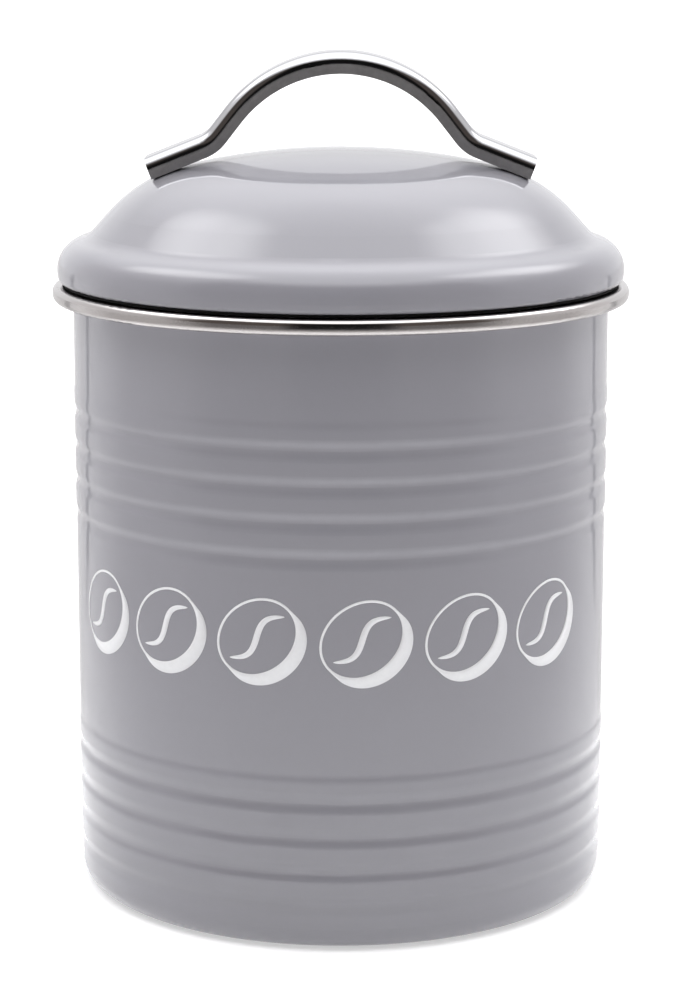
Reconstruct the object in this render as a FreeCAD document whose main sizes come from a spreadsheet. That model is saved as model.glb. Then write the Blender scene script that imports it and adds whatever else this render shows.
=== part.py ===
import FreeCAD, Part
import math
import os
import re

import Sketcher

# Round storage tin with a beaded steel wall, a stainless rim ring and a domed lift-off lid.
# Millimetres and degrees, +Z up, origin on the floor under the middle of the base.

DRIVING_SIZES = {
    # tin
    "wall_radius": 54.0,
    "sheet_gauge": 0.7,
    "wall_top": 122.4,
    "base_corner_radius": 4.5,
    "base_flange": 3.0,
    # beaded bands: a raised band with grooves rolled into it
    "upper_groove": 98.0,
    "lower_groove": 29.6,
    "groove_pitch": 6.9,
    "groove_run": 2.2,
    "groove_depth": 0.36,
    "band_rise": 0.15,
    "band_run": 2.0,
    "band_land": 1.6,
    # base disc
    "panel_radius": 43.0,
    "panel_height": 3.2,
    "panel_step_run": 3.0,
    "disc_radius": 49.0,
    # rim ring
    "ring_radius": 58.1,
    "ring_bottom": 120.1,
    "ring_top": 123.2,
    "ring_corner_radius": 1.2,
    "ring_bore": 52.7,
    "ring_lip_bottom": 117.5,
    "ring_bore_corner": 0.5,
    # lid shell
    "lid_seat": 123.95,
    "crown_radius": 140.0,
    "crown_turn": 12.9,
    "shoulder_radius": 29.9,
    "shoulder_turn": 35.0,
    "slope_length": 5.0,
    "valley_radius": 5.1,
    "valley_turn": 33.2,
    "lid_bead_radius": 6.05,
    "lid_bead_turn": 80.3,
    "lid_side": 0.85,
    "curl_radius": 1.1,
    "hem_width": 2.4,
    # lid skirt and seal
    "skirt_radius": 52.3,
    "skirt_gauge": 0.6,
    "skirt_bottom": 113.0,
    "skirt_bend_radius": 1.4,
    "skirt_flange": 1.3,
    "seal_bore": 52.6,
    "seal_radius": 56.1,
    "seal_thickness": 0.45,
    # handle strap
    "strap_width": 14.0,
    "strap_thickness": 4.3,
    "strap_edge_radius": 2.4,
    "arch_radius": 29.3,
    "leg_angle": 52.0,
    "foot_angle": 21.5,
    "leg_length": 5.05,
    "foot_bend_radius": 5.0,
    "handle_half_span": 39.2,
    # handle fixings
    "screw_radius": 1.5,
    "screw_reach": 3.3,
    "screw_head_radius": 2.8,
    "screw_head_height": 1.9,
    "screw_head_round": 0.9,
    "recess_length": 3.2,
    "recess_width": 0.7,
    "recess_depth": 1.1,
    "washer_radius": 3.6,
    "washer_thickness": 0.5,
    "washer_sink": 0.25,
    "lid_hole_radius": 1.8,
}
GROOVES_IN_A_BAND = 4
ORIGIN = FreeCAD.Vector(0, 0, 0)
UP = FreeCAD.Vector(0, 0, 1)
ACROSS = FreeCAD.Vector(0, 1, 0)
UPRIGHT = FreeCAD.Rotation(FreeCAD.Vector(1, 0, 0), 90)

doc = FreeCAD.newDocument("storage_tin")
sheet = doc.addObject("Spreadsheet::Sheet", "sizes")


def store(sizes):
    """Puts named sizes in the next rows of the sheet."""
    for alias, value in sizes.items():
        row = len(stored) + 1
        sheet.set(f"A{row}", alias)
        sheet.set(f"B{row}", f"{value:.6f}")
        sheet.setAlias(f"B{row}", alias)
        stored.append(alias)
    doc.recompute()


def bound(formula):
    """The formula with each alias spelt as the sheet's cell."""
    return re.sub(r"[a-z_]+", lambda word: f"sizes.{word[0]}" if word[0] in stored else word[0], formula)


def size(formula):
    """The number that a formula of aliases comes to."""
    answer = sheet.evalExpression(bound(formula))
    return float(getattr(answer, "Value", answer))


def bind(thing, **formulas):
    """Binds properties of a document object to formulas of the sheet."""
    for name, formula in formulas.items():
        thing.setExpression(name, bound(formula))


stored = []
store(DRIVING_SIZES)


class Outline:
    """A chain of tangent lines and arcs in a sketch of the XZ plane, each length, radius and turn
    bound to the sheet. It starts at (x, z) and heads off at an angle from +X; a positive turn is to
    the left."""

    def __init__(self, name, x, z, heading):
        self.sketch = doc.addObject("Sketcher::SketchObject", name)
        self.sketch.Placement = FreeCAD.Placement(ORIGIN, UPRIGHT)
        self.point = FreeCAD.Vector(x, z, 0)
        self.heading = heading
        self.last = None
        self.last_end = 2

    def constrain(self, *terms, formula=None):
        index = self.sketch.addConstraint(Sketcher.Constraint(*terms))
        if formula:
            self.sketch.setExpression(f"Constraints[{index}]", bound(formula))

    def join(self, piece, start, end):
        """Makes the new piece start where the last one ends, in the same direction."""
        if self.last is not None:
            self.constrain("Tangent", self.last, self.last_end, piece, start)
        self.last = piece
        self.last_end = end

    def line(self, length):
        reach = size(length)
        ahead = FreeCAD.Vector(math.cos(math.radians(self.heading)), math.sin(math.radians(self.heading)), 0)
        end = self.point + ahead * reach
        piece = self.sketch.addGeometry(Part.LineSegment(self.point, end), False)
        self.join(piece, 1, 2)
        self.constrain("Distance", piece, reach, formula=length)
        self.point = end
        return piece

    def arc(self, radius, turn, left=False):
        reach = size(radius)
        sweep = size(turn)
        side = 1 if left else -1
        toward = math.radians(self.heading + 90 * side)
        centre = self.point + FreeCAD.Vector(math.cos(toward), math.sin(toward), 0) * reach
        begin = self.heading - 90 * side
        finish = begin + sweep * side
        circle = Part.Circle(centre, UP, reach)
        first, second = sorted((begin, finish))
        piece = self.sketch.addGeometry(
            Part.ArcOfCircle(circle, math.radians(first), math.radians(second)), False)
        self.join(piece, 1 if left else 2, 2 if left else 1)
        self.constrain("Radius", piece, reach, formula=radius)
        self.constrain("Angle", piece, math.radians(sweep), formula=turn)
        self.heading += sweep * side
        outward = math.radians(finish)
        self.point = centre + FreeCAD.Vector(math.cos(outward), math.sin(outward), 0) * reach
        return piece

    def step(self, run, offset, left=False):
        """An S of two equal arcs that moves the chain sideways by offset over a run."""
        radius = f"(({run})^2 + ({offset})^2) / (4 * ({offset}))"
        turn = f"2 * atan(({offset}) / ({run}))"
        self.arc(radius, turn, left)
        self.arc(radius, turn, not left)

    def level(self, piece, end, formula):
        """Fixes the height of one end of a piece."""
        self.constrain("DistanceY", -1, 1, piece, end, size(formula), formula=formula)

    def reach_out(self, piece, end, formula):
        """Fixes the distance of one end of a piece from the axis."""
        self.constrain("DistanceX", -1, 1, piece, end, size(formula), formula=formula)


def pressed_face(name, line, gauge):
    """The strip of metal between a line and its offset. The gauge's sign picks the side."""
    strip = doc.addObject("Part::Offset2D", f"{name}_strip")
    strip.Source = line
    strip.Mode = "Skin"
    strip.Join = "Arc"
    strip.Fill = True
    bind(strip, Value=gauge)
    return strip


def spun(label, profile):
    """A full turn of a profile about the tin's axis."""
    ring = doc.addObject("Part::Revolution", label)
    ring.Label = label
    ring.Source = profile
    ring.Axis = UP
    ring.Angle = 360
    ring.Solid = True
    return ring


def role_plane(body, role):
    return next(item for item in body.Origin.OriginFeatures if item.Role == role)


def spun_section(label, corners, rounds=()):
    """A PartDesign body spun from a closed section. Each corner is a pair of formulas, radius and
    height; rounds lists the corners to round, as (corner number, radius formula)."""
    body = doc.addObject("PartDesign::Body", label)
    body.Label = label
    sketch = body.newObject("Sketcher::SketchObject", f"{label}_section")
    sketch.AttachmentSupport = (role_plane(body, "XZ_Plane"), [""])
    sketch.MapMode = "FlatFace"
    points = [FreeCAD.Vector(size(x), size(z), 0) for x, z in corners]
    count = len(points)
    for number, point in enumerate(points):
        sketch.addGeometry(Part.LineSegment(point, points[(number + 1) % count]), False)
    for number in range(count):
        sketch.addConstraint(Sketcher.Constraint("Coincident", number, 2, (number + 1) % count, 1))
    for number, (x, z) in enumerate(corners):
        for kind, formula in (("DistanceX", x), ("DistanceY", z)):
            index = sketch.addConstraint(Sketcher.Constraint(kind, -1, 1, number, 1, size(formula)))
            sketch.setExpression(f"Constraints[{index}]", bound(formula))
    spin = body.newObject("PartDesign::Revolution", f"{label}_spin")
    spin.Profile = sketch
    spin.ReferenceAxis = (sketch, ["V_Axis"])
    spin.Angle = 360
    doc.recompute()
    for number, radius in rounds:
        corner = points[number]
        base = body.Tip
        edges = [
            f"Edge{index + 1}" for index, edge in enumerate(base.Shape.Edges)
            if isinstance(edge.Curve, Part.Circle)
            and abs(edge.Curve.Radius - corner.x) < 1e-4 and abs(edge.Curve.Center.z - corner.y) < 1e-4
        ]
        fillet = body.newObject("PartDesign::Fillet", f"{label}_round")
        fillet.Base = (base, edges)
        bind(fillet, Radius=radius)
        body.Tip = fillet
        doc.recompute()
    return body


def body_shell():
    """The wall, from its top edge down through both beaded bands, round the corner and in under
    the base."""
    pen = Outline("wall_line", size("wall_radius"), size("wall_top"), -90)
    band_top = "groove_run + band_land + band_run"
    band_tail = f"{GROOVES_IN_A_BAND - 1} * groove_pitch + groove_run"
    first = pen.line(f"wall_top - upper_groove - ({band_top})")
    pen.reach_out(first, 1, "wall_radius")
    pen.level(first, 1, "wall_top")
    pen.constrain("Vertical", first)
    beaded_band(pen)
    pen.line(f"upper_groove - lower_groove - ({band_tail}) - ({band_top})")
    beaded_band(pen)
    pen.line(f"lower_groove - ({band_tail}) - base_corner_radius")
    pen.arc("base_corner_radius", "90")
    pen.line("base_flange")
    return spun("body_shell", pressed_face("wall", pen.sketch, "-sheet_gauge"))


def beaded_band(pen):
    """A raised band with its grooves, which comes back to the plain wall at the last groove."""
    pen.step("band_run", "band_rise", left=True)
    pen.line("band_land")
    for groove in range(GROOVES_IN_A_BAND):
        pen.step("groove_run", "groove_depth")
        if groove < GROOVES_IN_A_BAND - 1:
            pen.step("groove_run", "groove_depth", left=True)
            pen.line("groove_pitch - 2 * groove_run")
        else:
            pen.step("groove_run", "groove_depth - band_rise", left=True)


def base_disc():
    """The bottom panel, raised off the floor, with a flat rim that sits on the wall's flange."""
    pen = Outline("disc_line", 0, size("panel_height"), 0)
    first = pen.line("panel_radius")
    pen.constrain("PointOnObject", first, 1, -2)
    pen.level(first, 1, "panel_height")
    pen.constrain("Horizontal", first)
    pen.step("panel_step_run", "panel_height - 2 * sheet_gauge")
    pen.line("disc_radius - panel_radius - panel_step_run")
    return spun("base_disc", pressed_face("disc", pen.sketch, "-sheet_gauge"))


def rim_ring():
    """The ring that clips over the wall's top edge and stands proud of it."""
    corners = (
        ("wall_radius", "ring_bottom"),
        ("ring_radius", "ring_bottom"),
        ("ring_radius", "ring_top"),
        ("ring_bore", "ring_top"),
        ("ring_bore", "ring_lip_bottom"),
        ("wall_radius - sheet_gauge", "ring_lip_bottom"),
        ("wall_radius - sheet_gauge", "wall_top"),
        ("wall_radius", "wall_top"),
    )
    rounds = ((1, "ring_corner_radius"), (2, "ring_corner_radius"), (3, "ring_bore_corner"))
    return spun_section("rim_ring", corners, rounds)


def lid_outline():
    """The lid's outer face, from the middle of its crown to the inner edge of its hem."""
    curl_turn = "180 - (crown_turn + shoulder_turn - valley_turn + lid_bead_turn)"
    steps = (
        ("crown_radius", "crown_turn", False),
        ("shoulder_radius", "shoulder_turn", False),
        ("slope_length", None, None),
        ("valley_radius", "valley_turn", True),
        ("lid_bead_radius", "lid_bead_turn", False),
        ("lid_side", None, None),
        ("curl_radius", curl_turn, False),
    )

    def draw(name, crown_height):
        pen = Outline(name, 0, crown_height, 0)
        pieces = [pen.arc(reach, turn, left) if turn else pen.line(reach) for reach, turn, left in steps]
        pieces.append(pen.line("hem_width"))
        return pen, pieces

    trial, _ = draw("lid_trial", 0)
    drop = -trial.point.y
    doc.removeObject(trial.sketch.Name)
    store({"crown_height": size("lid_seat") + drop})
    pen, pieces = draw("lid_line", size("crown_height"))
    pen.constrain("PointOnObject", pieces[0], 2, -2)
    pen.constrain("PointOnObject", pieces[0], 3, -2)
    pen.level(pieces[-1], 2, "lid_seat")
    return pen


def foot_frame(side):
    """Where a handle foot rests on the lid: the point of contact on the lid's outer face, with its
    Z axis along the foot's normal and its X axis down the slope."""
    turn = FreeCAD.Rotation(ACROSS, side * size("foot_angle"))
    normal = turn.multVec(UP)
    centre_out = size("(crown_radius - shoulder_radius) * sin(crown_turn)")
    centre_up = size("crown_height - crown_radius + (crown_radius - shoulder_radius) * cos(crown_turn)")
    centre = FreeCAD.Vector(side * centre_out, 0, centre_up)
    return FreeCAD.Placement(centre + normal * size("shoulder_radius"), turn)


def hole(name, radius, length, frame, start):
    """A cylinder along a foot's normal, from start below or above the contact point."""
    bar = doc.addObject("Part::Cylinder", name)
    bind(bar, Radius=radius, Height=length)
    bar.Placement = frame.multiply(FreeCAD.Placement(FreeCAD.Vector(0, 0, start), FreeCAD.Rotation()))
    return bar


def cut(label, base, tools):
    """The base with every tool taken away."""
    for number, tool in enumerate(tools):
        last = number == len(tools) - 1
        result = doc.addObject("Part::Cut", label if last else f"{label}_cut")
        result.Base = base
        result.Tool = tool
        base = result
    base.Label = label
    return base


def without_spindles(name, strip):
    """A copy of a strip in which each arc that would spin a self-crossing torus, because its centre is
    off the axis by less than its radius, is a spline. Holes can be cut through the surface it spins."""
    doc.recompute()
    edges = []
    for edge in strip.Shape.OuterWire.OrderedEdges:
        curve = edge.Curve
        if isinstance(curve, Part.Circle) and 1e-3 < curve.Center.x < curve.Radius:
            edge = curve.toBSpline(edge.FirstParameter, edge.LastParameter).toShape()
        edges.append(edge)
    section = doc.addObject("Part::Feature", name)
    section.Shape = Part.Face(Part.Wire(edges))
    return section


def lid_shell(pen):
    """The pressed dome, with a hole under each handle foot for its screw."""
    strip = pressed_face("lid", pen.sketch, "sheet_gauge")
    dome = spun("lid_dome", without_spindles("lid_section", strip))
    holes = [
        hole("lid_hole", "lid_hole_radius", "6 * sheet_gauge", foot_frame(side), -size("4 * sheet_gauge"))
        for side in (-1, 1)
    ]
    return cut("lid_shell", dome, holes)


def lid_skirt():
    """The plug that guides the lid in the mouth, with a flange that sits on the lid's hem."""
    pen = Outline("skirt_line", size("skirt_radius + skirt_bend_radius - skirt_gauge + skirt_flange"),
                  size("lid_seat + sheet_gauge"), 180)
    flange = pen.line("skirt_flange")
    pen.level(flange, 1, "lid_seat + sheet_gauge")
    pen.constrain("Horizontal", flange)
    pen.arc("skirt_bend_radius - skirt_gauge", "90", left=True)
    drop = pen.line("lid_seat + sheet_gauge - skirt_bend_radius + skirt_gauge - skirt_bottom")
    pen.reach_out(drop, 2, "skirt_radius")
    return spun("lid_skirt", pressed_face("skirt", pen.sketch, "-skirt_gauge"))


def seal_ring():
    """The flat silicone ring under the lid's hem."""
    corners = (
        ("seal_bore", "lid_seat - seal_thickness"),
        ("seal_radius", "lid_seat - seal_thickness"),
        ("seal_radius", "lid_seat"),
        ("seal_bore", "lid_seat"),
    )
    return spun_section("seal_ring", corners)


def strap_blank():
    """The flat strap, bent to an arch with two feet that lie along the lid's shoulder."""
    frame = foot_frame(-1)
    normal = frame.Rotation.multVec(UP)
    top = frame.Base + normal * size("strap_thickness")
    slope = math.tan(math.radians(size("foot_angle")))
    store({"foot_top": top.z - (size("handle_half_span") + top.x) * slope})
    pen = Outline("strap_line", -size("handle_half_span"), size("foot_top"), size("foot_angle"))
    bend = "leg_angle - foot_angle"
    half_bend = f"foot_bend_radius * tan(({bend}) / 2)"
    arch_end = "arch_radius * sin(leg_angle) + leg_length * cos(leg_angle)"
    bend_run = f"({half_bend}) * (cos(leg_angle) + cos(foot_angle))"
    foot_length = f"(handle_half_span - ({arch_end}) - {bend_run}) / cos(foot_angle)"
    foot = pen.line(foot_length)
    pen.reach_out(foot, 1, "-handle_half_span")
    pen.level(foot, 1, "foot_top")
    pen.arc("foot_bend_radius", bend, left=True)
    pen.line("leg_length")
    arch = pen.arc("arch_radius", "2 * leg_angle")
    pen.constrain("PointOnObject", arch, 3, -2)
    pen.line("leg_length")
    pen.arc("foot_bend_radius", bend, left=True)
    pen.line(foot_length)
    strap = doc.addObject("Part::Extrusion", "strap_blank")
    strap.Base = pressed_face("strap", pen.sketch, "-strap_thickness")
    strap.DirMode = "Custom"
    strap.Dir = ACROSS
    strap.Symmetric = True
    strap.Solid = True
    bind(strap, LengthFwd="strap_width")
    doc.recompute()
    return strap


def outer_edges(strap, outline):
    """The numbers of the strap's edges that run along the outline, on either flank."""
    half_width = size("strap_width / 2")
    line = outline.Shape
    numbers = []
    for number, edge in enumerate(strap.Shape.Edges, 1):
        middle = edge.valueAt((edge.FirstParameter + edge.LastParameter) / 2)
        on_flank = abs(abs(middle.y) - half_width) < 1e-4
        in_plane = Part.Vertex(middle.x, 0, middle.z)
        if on_flank and line.distToShape(in_plane)[0] < 1e-4:
            numbers.append(number)
    return numbers


def handle():
    """The strap with its upper edges rounded and a blind hole in each foot for its screw."""
    strap = strap_blank()
    outline = doc.getObject("strap_line")
    rounded = doc.addObject("Part::Fillet", "strap_rounded")
    rounded.Base = strap
    radius = size("strap_edge_radius")
    rounded.Edges = [(number, radius, radius) for number in outer_edges(strap, outline)]
    holes = [
        hole("foot_hole", "screw_radius", "screw_reach + sheet_gauge", foot_frame(side), -size("sheet_gauge"))
        for side in (-1, 1)
    ]
    return cut("handle", rounded, holes)


def washer(side, label):
    """The washer between a screw's head and the inside of the lid."""
    start = -size("sheet_gauge + washer_sink + washer_thickness")
    disc = hole(f"{label}_disc", "washer_radius", "washer_thickness", foot_frame(side), start)
    bore = hole(f"{label}_bore", "screw_radius", "washer_thickness", foot_frame(side), start)
    return cut(label, disc, [bore])


def screw(side, label):
    """A pan-head screw that comes up through the lid into a handle foot."""
    frame = foot_frame(side)
    head_top = -size("sheet_gauge + washer_sink + washer_thickness")
    head_bottom = head_top - size("screw_head_height")
    shank_length = "screw_reach + sheet_gauge + washer_sink + washer_thickness"
    shank = hole(f"{label}_shank", "screw_radius", shank_length, frame, head_top)
    head = hole(f"{label}_head", "screw_head_radius", "screw_head_height", frame, head_bottom)
    doc.recompute()
    far_rim = FreeCAD.Vector(0, 0, head_bottom)
    rim = frame.multVec(far_rim)
    numbers = [
        number for number, edge in enumerate(head.Shape.Edges, 1)
        if isinstance(edge.Curve, Part.Circle) and edge.Curve.Center.distanceToPoint(rim) < 1e-4
    ]
    rounded = doc.addObject("Part::Fillet", f"{label}_rounded")
    rounded.Base = head
    rounded.Edges = [(number, size("screw_head_round"), size("screw_head_round")) for number in numbers]
    whole = doc.addObject("Part::Fuse", f"{label}_whole")
    whole.Base = rounded
    whole.Tool = shank
    arms = []
    for angle in (0, 90):
        arm = doc.addObject("Part::Box", f"{label}_recess")
        bind(arm, Length="recess_length", Width="recess_width", Height="recess_depth")
        corner = FreeCAD.Vector(-size("recess_length / 2"), -size("recess_width / 2"), head_bottom)
        spin = FreeCAD.Placement(ORIGIN, FreeCAD.Rotation(UP, angle))
        arm.Placement = frame.multiply(spin).multiply(FreeCAD.Placement(corner, FreeCAD.Rotation()))
        arms.append(arm)
    return cut(label, whole, arms)


def check_and_write(parts):
    """Stops on any failed object, then writes each sub-part under its label."""
    failed = [item.Name for item in doc.Objects if {"Invalid", "Error"} & set(item.State)]
    if failed:
        raise RuntimeError(f"failed objects: {failed}")
    os.makedirs("parts", exist_ok=True)
    for part in parts:
        if part.Shape.isNull() or not part.Shape.isValid() or len(part.Shape.Solids) != 1:
            raise RuntimeError(f"{part.Label} is not one valid solid")
        box = part.Shape.optimalBoundingBox(False, False)
        print(f"{part.Label}: {box.XLength:.2f} x {box.YLength:.2f} x {box.ZLength:.2f} mm, "
              f"z {box.ZMin:.2f} to {box.ZMax:.2f}, {part.Shape.Volume:.0f} mm3")
        part.Shape.exportStep(f"parts/{part.Label}.step")


lid_line = lid_outline()
sub_parts = [
    body_shell(),
    base_disc(),
    rim_ring(),
    lid_shell(lid_line),
    lid_skirt(),
    seal_ring(),
    handle(),
]
for side, side_name in ((-1, "left"), (1, "right")):
    sub_parts.append(washer(side, f"screw_washer_{side_name}"))
    sub_parts.append(screw(side, f"handle_screw_{side_name}"))
doc.recompute()
check_and_write(sub_parts)
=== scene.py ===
import math

import bmesh
import bpy
from mathutils import Matrix, Vector
from mathutils.bvhtree import BVHTree


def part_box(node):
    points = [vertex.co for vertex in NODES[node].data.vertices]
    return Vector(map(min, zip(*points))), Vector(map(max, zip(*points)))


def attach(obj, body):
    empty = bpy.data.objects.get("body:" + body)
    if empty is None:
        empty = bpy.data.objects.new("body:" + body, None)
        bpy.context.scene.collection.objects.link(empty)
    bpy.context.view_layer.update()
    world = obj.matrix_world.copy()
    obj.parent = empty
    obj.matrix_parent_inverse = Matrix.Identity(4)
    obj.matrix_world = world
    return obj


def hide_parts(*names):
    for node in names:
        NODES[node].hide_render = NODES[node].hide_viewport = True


# The looks of a painted steel storage tin: enamel, bright steel, a printed row of beans and a studio.
# Metres, +Z up, the tin's axis on Z and its front towards -Y.

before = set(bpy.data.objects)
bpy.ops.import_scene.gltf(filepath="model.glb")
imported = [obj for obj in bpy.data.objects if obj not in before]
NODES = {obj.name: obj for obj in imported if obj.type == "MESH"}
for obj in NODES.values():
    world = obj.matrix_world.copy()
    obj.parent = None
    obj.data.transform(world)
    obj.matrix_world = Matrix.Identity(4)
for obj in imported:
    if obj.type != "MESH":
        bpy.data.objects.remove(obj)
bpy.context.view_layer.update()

MM = 0.001
WALL_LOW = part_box("body_shell")[0]
WALL_RADIUS = 54.0 * MM


# ---------------------------------------------------------------- shader helpers

# The Mix node's sockets when it mixes colours.
MIX_AMOUNT = 0
MIX_FIRST = 6
MIX_SECOND = 7
MIX_RESULT = 2


class Shader:
    """A material's node tree with a Principled shader, and short ways to add and join nodes."""

    def __init__(self, name, **settings):
        self.material = bpy.data.materials.new(name)
        self.material.use_nodes = True
        self.tree = self.material.node_tree
        self.surface = self.tree.nodes["Principled BSDF"]
        for socket, value in settings.items():
            self.surface.inputs[socket.replace("_", " ")].default_value = value
        self.place = self.add("ShaderNodeTexCoord").outputs["Object"]

    def add(self, kind, **settings):
        node = self.tree.nodes.new(kind)
        for key, value in settings.items():
            setattr(node, key, value)
        return node

    def link(self, source, target):
        self.tree.links.new(source, target)

    def feed(self, target, value):
        """Joins an output to a socket, or sets the socket to a number or colour."""
        if isinstance(value, bpy.types.NodeSocket):
            self.link(value, target)
        else:
            target.default_value = value

    def stretched(self, x, y, z):
        """Object coordinates scaled along each axis, for streaks."""
        mapping = self.add("ShaderNodeMapping")
        mapping.inputs["Scale"].default_value = (x, y, z)
        self.link(self.place, mapping.inputs["Vector"])
        return mapping.outputs["Vector"]

    def noise(self, scale, detail=2.0, roughness=0.5, place=None):
        node = self.add("ShaderNodeTexNoise")
        node.inputs["Scale"].default_value = scale
        node.inputs["Detail"].default_value = detail
        node.inputs["Roughness"].default_value = roughness
        self.link(place or self.place, node.inputs["Vector"])
        return node.outputs["Fac"]

    def math(self, operation, first, second=0.0, third=0.0):
        node = self.add("ShaderNodeMath", operation=operation)
        for socket, value in zip(node.inputs, (first, second, third)):
            self.feed(socket, value)
        return node.outputs["Value"]

    def ramp(self, value, low, high, start=0.0, end=1.0):
        """A straight ramp of value from low..high to start..end, held level outside."""
        node = self.add("ShaderNodeMapRange")
        self.feed(node.inputs["Value"], value)
        for socket, number in (("From Min", low), ("From Max", high), ("To Min", start), ("To Max", end)):
            self.feed(node.inputs[socket], number)
        return node.outputs["Result"]

    def mix(self, amount, first, second):
        node = self.add("ShaderNodeMix", data_type="RGBA")
        self.feed(node.inputs[MIX_AMOUNT], amount)
        self.feed(node.inputs[MIX_FIRST], first)
        self.feed(node.inputs[MIX_SECOND], second)
        return node.outputs[MIX_RESULT]

    def bearings(self):
        """The place's distances to the side and ahead, its height, and its azimuth from the front in
        degrees, with both sides alike."""
        axes = self.add("ShaderNodeSeparateXYZ")
        self.link(self.place, axes.inputs["Vector"])
        side = self.math("ABSOLUTE", axes.outputs["X"])
        ahead = self.math("MULTIPLY", axes.outputs["Y"], -1.0)
        azimuth = self.math("DEGREES", self.math("ARCTAN2", side, ahead))
        return side, ahead, axes.outputs["Z"], azimuth

    def bump(self, height, distance, strength=1.0):
        node = self.add("ShaderNodeBump")
        node.inputs["Distance"].default_value = distance
        node.inputs["Strength"].default_value = strength
        self.link(height, node.inputs["Height"])
        return node.outputs["Normal"]

    def colour(self, value):
        self.feed(self.surface.inputs["Base Color"], value)

    def roughness(self, value):
        self.feed(self.surface.inputs["Roughness"], value)

    def normal(self, value):
        self.link(value, self.surface.inputs["Normal"])


def grey(level, red=0.0, blue=0.0):
    """A near-neutral colour: level for green, with red and blue a little above or below it."""
    return (level + red, level, level + blue, 1.0)


# ---------------------------------------------------------------- materials

ENAMEL_LEVEL = 0.246
PEEL_DEPTH = 0.006 * MM


def enamel(name, level):
    """Gloss stoved enamel: a smooth coat with a faint orange peel and a slow drift of its grey."""
    paint = Shader(name, Specular_IOR_Level=0.2, Coat_Weight=1.0, Coat_Roughness=0.03, Coat_IOR=1.5)
    drift = paint.noise(35.0, detail=3.0)
    fine = paint.noise(2500.0, detail=1.0)
    blend = paint.math("ADD", paint.math("MULTIPLY", drift, 0.7), paint.math("MULTIPLY", fine, 0.3))
    paint.colour(paint.mix(blend, grey(level * 0.96, 0.003, 0.024), grey(level * 1.04, 0.003, 0.028)))
    paint.roughness(paint.ramp(drift, 0.0, 1.0, 0.29, 0.33))
    peel = paint.bump(paint.noise(650.0, detail=1.5), PEEL_DEPTH)
    paint.normal(peel)
    paint.link(peel, paint.surface.inputs["Coat Normal"])
    return paint.material


def bright_steel(name):
    """Polished stainless steel with faint spun lines and soft smears."""
    steel = Shader(name, Metallic=1.0)
    lines = steel.noise(900.0, detail=2.0, place=steel.stretched(0.02, 0.02, 1.0))
    smear = steel.noise(60.0, detail=3.0)
    steel.colour(steel.mix(smear, grey(0.48, 0.024, -0.012), grey(0.54, 0.020, -0.008)))
    steel.roughness(steel.ramp(smear, 0.35, 0.75, 0.13, 0.18))
    steel.normal(steel.bump(lines, 0.01 * MM, 0.12))
    return steel.material


def strap_steel(name):
    """The handle's steel: polished on its upper face and rounded edges, satin along its flat flanks. The
    flanks' grey is painted light, set lighter than the top's so that the flat sides look brighter.
    """
    steel = Shader(name, Metallic=1.0)
    across = steel.add("ShaderNodeSeparateXYZ")
    steel.link(steel.add("ShaderNodeTexCoord").outputs["Normal"], across.inputs["Vector"])
    flank = steel.ramp(steel.math("ABSOLUTE", across.outputs["Y"]), 0.99, 0.999)
    grain = steel.noise(420.0, detail=4.0, roughness=0.65)
    smear = steel.noise(70.0, detail=3.0)
    # Painted light: the flat flanks get a much lighter grey than the polished top, so that they look bright
    # although their reflections fall dim.
    polished = steel.mix(smear, grey(0.38, 0.0, 0.012), grey(0.46, 0.0, 0.012))
    satin_with_painted_light = steel.mix(grain, grey(0.48, 0.006, 0.004), grey(0.78, 0.004, 0.002))
    steel.colour(steel.mix(flank, polished, satin_with_painted_light))
    steel.roughness(steel.math("MULTIPLY_ADD", flank, 0.34, steel.ramp(smear, 0.35, 0.75, 0.07, 0.14)))
    steel.normal(steel.bump(grain, 0.02 * MM, 0.35))
    return steel.material


def zinc(name):
    """Bright zinc plate on small hardware."""
    plate = Shader(name, Metallic=1.0)
    spangle = plate.noise(500.0, detail=3.0)
    plate.colour(plate.mix(spangle, grey(0.48, 0.0, 0.01), grey(0.62, 0.0, 0.01)))
    plate.roughness(plate.ramp(spangle, 0.3, 0.7, 0.22, 0.38))
    plate.normal(plate.bump(spangle, 0.01 * MM, 0.4))
    return plate.material


def silicone(name):
    """Matt silicone with a little dust in its pores. It is near black: partly the seal's own colour, and
    partly painted shade for the deep gap under the lid.
    """
    rubber = Shader(name, Specular_IOR_Level=0.15)
    pores = rubber.noise(1800.0, detail=2.0)
    # Painted shade in part: the near-black grey also stands for the shadow in the narrow gap between the
    # lid and the rim ring.
    rubber.colour(rubber.mix(pores, grey(0.004), grey(0.008)))
    rubber.roughness(rubber.ramp(pores, 0.3, 0.7, 0.65, 0.8))
    rubber.normal(rubber.bump(pores, 0.03 * MM, 0.5))
    return rubber.material


def white_ink():
    """Screen-printed white ink, a little uneven in thickness."""
    ink = Shader("white_ink", Coat_Weight=0.6, Coat_Roughness=0.08)
    mottle = ink.noise(900.0, detail=3.0)
    ink.colour(ink.mix(mottle, grey(0.68, -0.004, 0.014), grey(0.76, -0.004, 0.014)))
    ink.roughness(ink.ramp(mottle, 0.3, 0.7, 0.32, 0.46))
    ink.normal(ink.bump(mottle, 0.01 * MM, 0.5))
    return ink.material


def dress(obj, material):
    """Puts one material on every face of an object."""
    if not obj.material_slots:
        obj.data.materials.append(material)
    for number in range(len(obj.material_slots)):
        obj.material_slots[number].material = material


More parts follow.
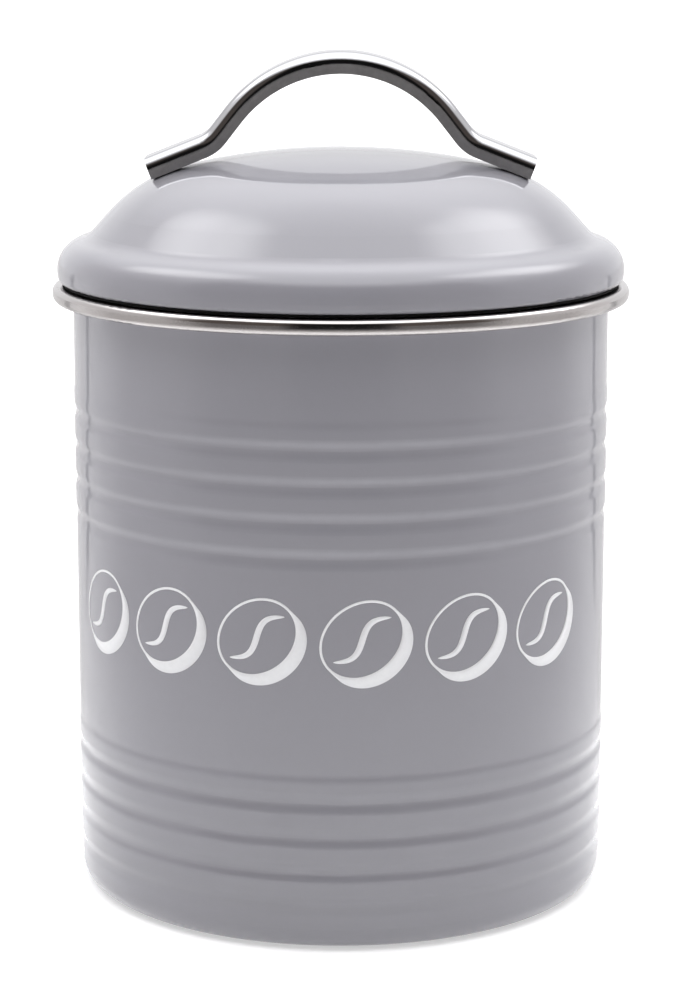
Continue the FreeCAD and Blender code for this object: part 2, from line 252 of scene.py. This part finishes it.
def dress_nodes():
    """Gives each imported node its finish."""
    paint = enamel("gloss_enamel", ENAMEL_LEVEL)
    plated = zinc("zinc_plate")
    looks = {
        "body_shell": paint, "base_disc": paint, "lid_shell": paint, "lid_skirt": paint,
        "rim_ring": bright_steel("bright_steel"),
        "handle": strap_steel("strap_steel"),
        "seal_ring": silicone("black_silicone"),
        "handle_screw_left": plated, "handle_screw_right": plated,
        "screw_washer_left": plated, "screw_washer_right": plated,
    }
    for node, look in looks.items():
        dress(NODES[node], look)


# ---------------------------------------------------------------- new pieces

def new_object(name, mesh):
    made = bpy.data.objects.new(name, mesh)
    bpy.context.scene.collection.objects.link(made)
    return made


def from_bmesh(name, bm):
    """A new object with the bmesh's faces, smooth, with their normals put right."""
    bmesh.ops.recalc_face_normals(bm, faces=bm.faces)
    for face in bm.faces:
        face.smooth = True
    mesh = bpy.data.meshes.new(name)
    bm.to_mesh(mesh)
    bm.free()
    return new_object(name, mesh)


# ---------------------------------------------------------------- printed motif

BEANS = 6
FIRST_AZIMUTH = -60.2
LAST_AZIMUTH = 47.3
PRINT_HEIGHT = 61.9 * MM
BEAN_LONG = 8.7 * MM
BEAN_SHORT = 7.1 * MM
BEAN_TILT = 38.0
BEAN_POINTS = 96
OUTLINE = 0.48 * MM
SHADOW = Vector((1.65 * MM, -1.6 * MM))
CREASE_REACH = 0.80
CREASE_SWAY = 0.22
CREASE_HALF_WIDTH = 0.62 * MM
CREASE_POINTS = 40
INK_PROUD = 0.05 * MM
INK_SUNK = 0.05 * MM


def on_wall(point, radius):
    """A flat drawing's point, wrapped round a cylinder about Z with the drawing's zero at the front."""
    turn = point.x / WALL_RADIUS
    return Vector((radius * math.sin(turn), -radius * math.cos(turn), point.y))


def bean_edge(turn):
    """The point of the bean's oval at a turn, and its outward normal, about the bean's own middle."""
    point = Vector((BEAN_LONG * math.cos(turn), BEAN_SHORT * math.sin(turn)))
    normal = Vector((math.cos(turn) / BEAN_LONG, math.sin(turn) / BEAN_SHORT)).normalized()
    tilt = Matrix.Rotation(math.radians(BEAN_TILT), 2)
    return tilt @ point, tilt @ normal


def crease_rib(share):
    """The two sides of the bean's S-shaped crease, at a share from -1 to 1 along it."""
    along = CREASE_REACH * BEAN_LONG
    sway = CREASE_SWAY * BEAN_SHORT
    middle = Vector((along * share, sway * math.sin(math.pi * share)))
    ahead = Vector((along, sway * math.pi * math.cos(math.pi * share))).normalized()
    side = Vector((-ahead.y, ahead.x)) * CREASE_HALF_WIDTH * math.sqrt(max(1 - share * share, 0.01))
    tilt = Matrix.Rotation(math.radians(BEAN_TILT), 2)
    return tilt @ (middle - side), tilt @ (middle + side)


def flat_bean(bm, middle):
    """One bean drawn flat: a ring for its outline, a drop shadow that grows from the outline, a crease."""
    rings = []
    for number in range(BEAN_POINTS):
        point, normal = bean_edge(2 * math.pi * number / BEAN_POINTS)
        inner = bm.verts.new((middle + point - normal * OUTLINE).to_3d())
        outer = bm.verts.new((middle + point).to_3d())
        cast = bm.verts.new((middle + point + SHADOW).to_3d()) if normal.dot(SHADOW) > 0 else None
        rings.append((inner, outer, cast))
    for near, far in zip(rings, rings[1:] + rings[:1]):
        bm.faces.new((near[0], near[1], far[1], far[0]))
        if near[2] and far[2]:
            bm.faces.new((near[1], near[2], far[2], far[1]))
    ribs = []
    for number in range(CREASE_POINTS + 1):
        sides = crease_rib(2 * number / CREASE_POINTS - 1)
        ribs.append([bm.verts.new((middle + point).to_3d()) for point in sides])
    for near, far in zip(ribs, ribs[1:]):
        bm.faces.new((near[0], near[1], far[1], far[0]))


def printed_beans():
    """The row of beans, as a thin film of ink wrapped round the wall between the beaded bands."""
    bm = bmesh.new()
    for number in range(BEANS):
        azimuth = FIRST_AZIMUTH + (LAST_AZIMUTH - FIRST_AZIMUTH) * number / (BEANS - 1)
        flat_bean(bm, Vector((math.radians(azimuth) * WALL_RADIUS, PRINT_HEIGHT)))
    drawn = bm.verts[:]
    extruded = bmesh.ops.extrude_face_region(bm, geom=bm.faces[:])["geom"]
    for vert in drawn:
        vert.co = on_wall(vert.co.to_2d(), WALL_RADIUS - INK_SUNK)
    for item in extruded:
        if isinstance(item, bmesh.types.BMVert):
            item.co = on_wall(item.co.to_2d(), WALL_RADIUS + INK_PROUD)
    beans = from_bmesh("printed_beans", bm)
    dress(beans, white_ink())
    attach(beans, "tin")


# ---------------------------------------------------------------- rim ring

SHARP_EDGE = math.radians(40)
SAME_CIRCLE = 0.02 * MM


def polished_ring():
    """The rim ring as a piece of its own, in the CAD ring's shape. Its normals lie in the planes through
    the axis and tilt alike all round each circle, so that reflections run on without breaks."""
    mesh = NODES["rim_ring"].data.copy()
    circles = {}
    corners = []
    for loop in mesh.loops:
        point = mesh.vertices[loop.vertex_index].co
        normal = mesh.corner_normals[loop.index].vector
        level = normal.to_2d()
        outward = point.to_2d().normalized()
        lift = math.atan2(normal.z, math.copysign(level.length, level.dot(outward)))
        circle = (round(point.to_2d().length / SAME_CIRCLE), round(point.z / SAME_CIRCLE))
        circles.setdefault(circle, []).append(lift)
        corners.append((circle, lift, outward))
    normals = []
    for circle, lift, outward in corners:
        alike = sorted(other for other in circles[circle] if abs(other - lift) < SHARP_EDGE)
        middle = alike[len(alike) // 2]
        normals.append((outward.x * math.cos(middle), outward.y * math.cos(middle), math.sin(middle)))
    mesh.normals_split_custom_set(normals)
    ring = new_object("polished_ring", mesh)
    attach(ring, "tin")
    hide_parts("rim_ring")


# ---------------------------------------------------------------- side seam

SEAM_HALF_WIDTH = 1.1 * MM
SEAM_PROUD = 0.10 * MM
SEAM_SUNK = 0.10 * MM
SEAM_START = 5.3 * MM
SEAM_OVERLAP = 2 * MM
SEAM_STEP = 0.5 * MM
SEAM_SHARES = (-1.0, -0.7, 0.0, 0.7, 1.0)


def seam_row(bm, wall_radius, height):
    """One row of points across the seam: sunk in the wall at both edges, and raised between them."""
    row = []
    for share in SEAM_SHARES:
        rise = -SEAM_SUNK if abs(share) == 1 else SEAM_PROUD * (1 - share * share)
        row.append(bm.verts.new((SEAM_HALF_WIDTH * share, wall_radius + rise, height)))
    return row


def side_seam():
    """The lapped weld down the back of the wall: a low painted ridge that follows every bead."""
    wall = BVHTree.FromObject(NODES["body_shell"], bpy.context.evaluated_depsgraph_get())
    low = WALL_LOW.z + SEAM_START
    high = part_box("rim_ring")[0].z + SEAM_OVERLAP
    rows = int((high - low) / SEAM_STEP)
    bm = bmesh.new()
    grid = []
    for row in range(rows + 1):
        height = low + (high - low) * row / rows
        hit = wall.ray_cast(Vector((0, 1, height)), Vector((0, -1, 0)))[0]
        grid.append(seam_row(bm, hit.y, height))
    for near, far in zip(grid, grid[1:]):
        for left in range(len(SEAM_SHARES) - 1):
            bm.faces.new((near[left], near[left + 1], far[left + 1], far[left]))
        bm.faces.new((near[-1], near[0], far[0], far[-1]))
    bm.faces.new(grid[0])
    bm.faces.new(list(reversed(grid[-1])))
    seam = from_bmesh("side_seam", bm)
    dress(seam, NODES["body_shell"].material_slots[0].material)
    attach(seam, "tin")


# ---------------------------------------------------------------- camera

SENSOR_WIDTH = 36.0
FOCAL_LENGTH = 105.2
CAMERA_PLACE = (-0.26 * MM, -588.5 * MM, 196.4 * MM)
CAMERA_DIP = 11.37


def camera():
    """The view of a product shot: a long lens from a little above, aimed a little below the middle."""
    lens = bpy.data.cameras.new("camera")
    lens.sensor_width = SENSOR_WIDTH
    lens.lens = FOCAL_LENGTH
    shot = bpy.data.objects.new("camera", lens)
    shot.location = CAMERA_PLACE
    shot.rotation_euler = (math.radians(90 - CAMERA_DIP), 0, 0)
    bpy.context.scene.collection.objects.link(shot)
    bpy.context.scene.camera = shot


# ---------------------------------------------------------------- studio

FLOOR_RADIUS = 20.0
FLOOR_GLOW = 0.46
ZONE_RADIUS = 19.0
ZONE_STEP = 0.5 * MM
DISC_SEGMENTS = 96

SIDE_NEAR = (0.62, 0.60, 0.60, 1)
SIDE_FAR = (0.92, 0.90, 0.91, 1)
BACKDROP = (0.98, 0.98, 1.0, 1)
BACKDROP_SEEN = (1.5, 1.5, 1.5, 1)
CEILING = (2.75, 2.75, 2.8, 1)
ROOM = (0.13, 0.11, 0.10, 1)
CAMERA_SHADE = (0.01, 0.01, 0.01, 1)
FLOOR_SIDE = (0.66, 0.64, 0.64, 1)
FLOOR_BACK = (0.85, 0.84, 0.85, 1)
FLOOR_FAR = (0.22, 0.21, 0.21, 1)
GLOW = (7.5, 7.5, 7.6, 1)
TABLE_EDGE = (0.30, 0.30, 0.31, 1)

# Azimuths that lie beyond every place's, for a zone with no edge at the front or at the back.
FROM_FRONT = (-2, -1)
TO_BACK = (181, 182)

# Name, azimuths in degrees over which it fades in and out, distances over which it fades in, shade.
FLOOR_ZONES = (
    ("floor_side", (*FROM_FRONT, 100, 140), (0.12, 0.30), FLOOR_SIDE),
    ("floor_back", (100, 140, *TO_BACK), (0.06, 0.16), FLOOR_BACK),
    ("floor_front", (*FROM_FRONT, 50, 70), (0.28, 0.64), FLOOR_FAR),
    ("floor_shade", (*FROM_FRONT, 17, 24), (0.56, 0.70), CAMERA_SHADE),
    ("table_edge", (132, 133.5, 136, 137.5), (0.24, 0.34), TABLE_EDGE),
)

# Soft lamps behind the tent: azimuth, elevation, reach of the glow in degrees, share of full strength.
LAMPS = (
    (-102, 56, 17, 0.50),
    (-118, 48, 15, 0.45),
    (-88, 63, 12, 0.35),
    (118, 47, 17, 0.60),
    (102, 55, 14, 0.45),
    (130, 38, 12, 0.20),
    (91, 62, 10, 0.30),
)
LAMP_FALLOFF = 1.5

# Azimuths or elevations in degrees between which one part of the walls turns into the next.
SIDE_AZIMUTHS = (60, 125)
BACKDROP_AZIMUTHS = (133, 137)
CEILING_ELEVATIONS = (25, 62)
ROOM_AZIMUTHS = (74, 58)
ROOM_ELEVATIONS = (60, 42)
SHADE_AZIMUTHS = (24, 17)
SHADE_ELEVATIONS = (46, 37)


def disc(name, radius, height):
    """A flat round face about the tin's axis."""
    bm = bmesh.new()
    bmesh.ops.create_circle(bm, cap_ends=True, segments=DISC_SEGMENTS, radius=radius)
    bmesh.ops.translate(bm, verts=bm.verts, vec=(0, 0, height))
    return from_bmesh(name, bm)


def floor():
    """A white table, lit faintly from below so that it stays bright where the tin shades it."""
    ground = disc("floor", FLOOR_RADIUS, 0)
    pale = Shader("floor", Roughness=0.9, Emission_Color=grey(1.0), Emission_Strength=FLOOR_GLOW)
    pale.colour(pale.mix(pale.noise(6.0), grey(0.61), grey(0.63)))
    dress(ground, pale.material)


def floor_zone(name, azimuths, distances, height, shade):
    """A part of the table that looks darker in reflections only. Its shade fades in between the first
    two azimuths and out between the last two, on both sides of the tin, and in over two distances."""
    zone = disc(name, ZONE_RADIUS, height)
    card = Shader(name, Roughness=1.0, Specular_IOR_Level=0.0, Base_Color=grey(0.0), Emission_Color=shade,
                  Emission_Strength=1.0)
    side, ahead, _, azimuth = card.bearings()
    squares = card.math("MULTIPLY_ADD", side, side, card.math("MULTIPLY", ahead, ahead))
    distance = card.math("SQRT", squares)
    in_start, in_end, out_start, out_end = azimuths
    begun = card.ramp(azimuth, in_start, in_end)
    within = card.math("MULTIPLY", begun, card.ramp(azimuth, out_end, out_start))
    card.feed(card.surface.inputs["Alpha"], card.math("MULTIPLY", within, card.ramp(distance, *distances)))
    dress(zone, card.material)
    zone.visible_camera = False
    zone.visible_diffuse = False
    zone.visible_shadow = False


def direction(azimuth, elevation):
    """Azimuth from the front towards +X, elevation above the floor, in degrees."""
    turn = math.radians(azimuth)
    lift = math.radians(elevation)
    return Vector((math.sin(turn) * math.cos(lift), -math.cos(turn) * math.cos(lift), math.sin(lift)))


class Sky(Shader):
    """The studio's walls as light: white tent behind and above, an open dim side towards the camera."""

    def __init__(self, name):
        self.world = bpy.data.worlds.new(name)
        self.world.use_nodes = True
        self.tree = self.world.node_tree
        self.place = self.add("ShaderNodeTexCoord").outputs["Generated"]

    def lamp(self, azimuth, elevation, reach, share):
        """A round glow that fades smoothly to nothing at its reach."""
        facing = self.add("ShaderNodeVectorMath", operation="DOT_PRODUCT")
        self.link(self.place, facing.inputs[0])
        facing.inputs[1].default_value = direction(azimuth, elevation)
        fade = self.ramp(facing.outputs["Value"], math.cos(math.radians(reach)), 1.0)
        return self.math("MULTIPLY", self.math("POWER", fade, LAMP_FALLOFF), share)

    def build(self):
        """Lays out walls, ceiling, opening and lamps by azimuth and elevation, and lights the scene."""
        _, _, height, azimuth = self.bearings()
        elevation = self.math("DEGREES", self.math("ARCSINE", height))
        walls = self.mix(self.ramp(azimuth, *SIDE_AZIMUTHS), SIDE_NEAR, SIDE_FAR)
        walls = self.mix(self.ramp(azimuth, *BACKDROP_AZIMUTHS), walls, BACKDROP)
        tent = self.mix(self.ramp(elevation, *CEILING_ELEVATIONS), walls, CEILING)
        for azimuths, elevations, shade in (
            (ROOM_AZIMUTHS, ROOM_ELEVATIONS, ROOM),
            (SHADE_AZIMUTHS, SHADE_ELEVATIONS, CAMERA_SHADE),
        ):
            within = self.math("MULTIPLY", self.ramp(azimuth, *azimuths), self.ramp(elevation, *elevations))
            tent = self.mix(within, tent, shade)
        for placing in LAMPS:
            tent = self.mix(self.lamp(*placing), tent, GLOW)
        seen = self.add("ShaderNodeLightPath").outputs["Is Camera Ray"]
        background = self.tree.nodes["Background"]
        self.link(self.mix(seen, tent, BACKDROP_SEEN), background.inputs["Color"])
        bpy.context.scene.world = self.world


# ---------------------------------------------------------------- scene

dress_nodes()
printed_beans()
polished_ring()
side_seam()
camera()
floor()
for number, (name, azimuths, distances, shade) in enumerate(FLOOR_ZONES, start=1):
    floor_zone(name, azimuths, distances, ZONE_STEP * number, shade)
Sky("studio").build()
bpy.context.scene.view_settings.view_transform = "Standard"
